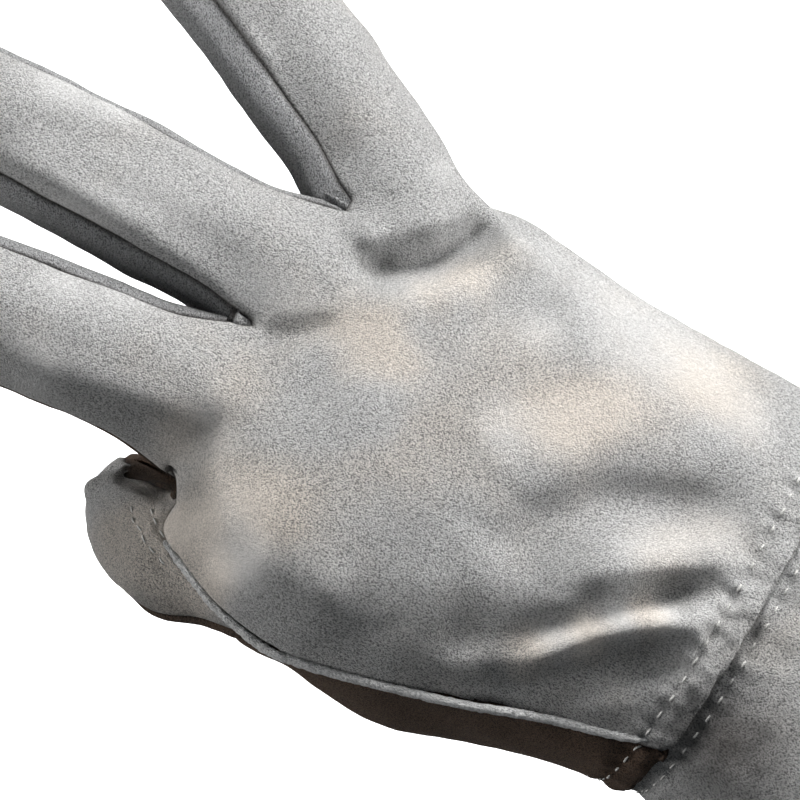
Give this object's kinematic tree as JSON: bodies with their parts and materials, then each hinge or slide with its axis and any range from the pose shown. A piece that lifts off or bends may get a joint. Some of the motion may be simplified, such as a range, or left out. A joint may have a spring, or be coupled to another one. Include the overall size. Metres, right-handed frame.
{
  "type": "leather work glove",
  "caption": "Short suede work glove for the right hand in its worn form, with fourchettes, a sewn-on thumb, a raised side seam and a plain flared cuff.",
  "frame": {"origin": "middle of the wrist opening, where the glove is held by the arm that wears it", "axes": "+Y from the wrist opening to the fingertips, +Z out of the back of the hand, -X on the thumb side"},
  "size_m": [0.1292, 0.228, 0.0998],
  "materials": {
    "suede": "napped split leather, matte",
    "suede_side": "napped split leather, matte",
    "raw_edge": "raw cut edge, fuzzy"
  },
  "bodies": {
    "root": {"back_panel": "suede", "palm_panel": "suede", "fourchette_index_middle": "suede_side", "fourchette_middle_ring": "suede_side", "fourchette_ring_little": "suede_side", "thumb_back": "suede", "thumb_front": "suede", "cuff": "suede", "side_welt": "raw_edge"}
  },
  "joints": []
}
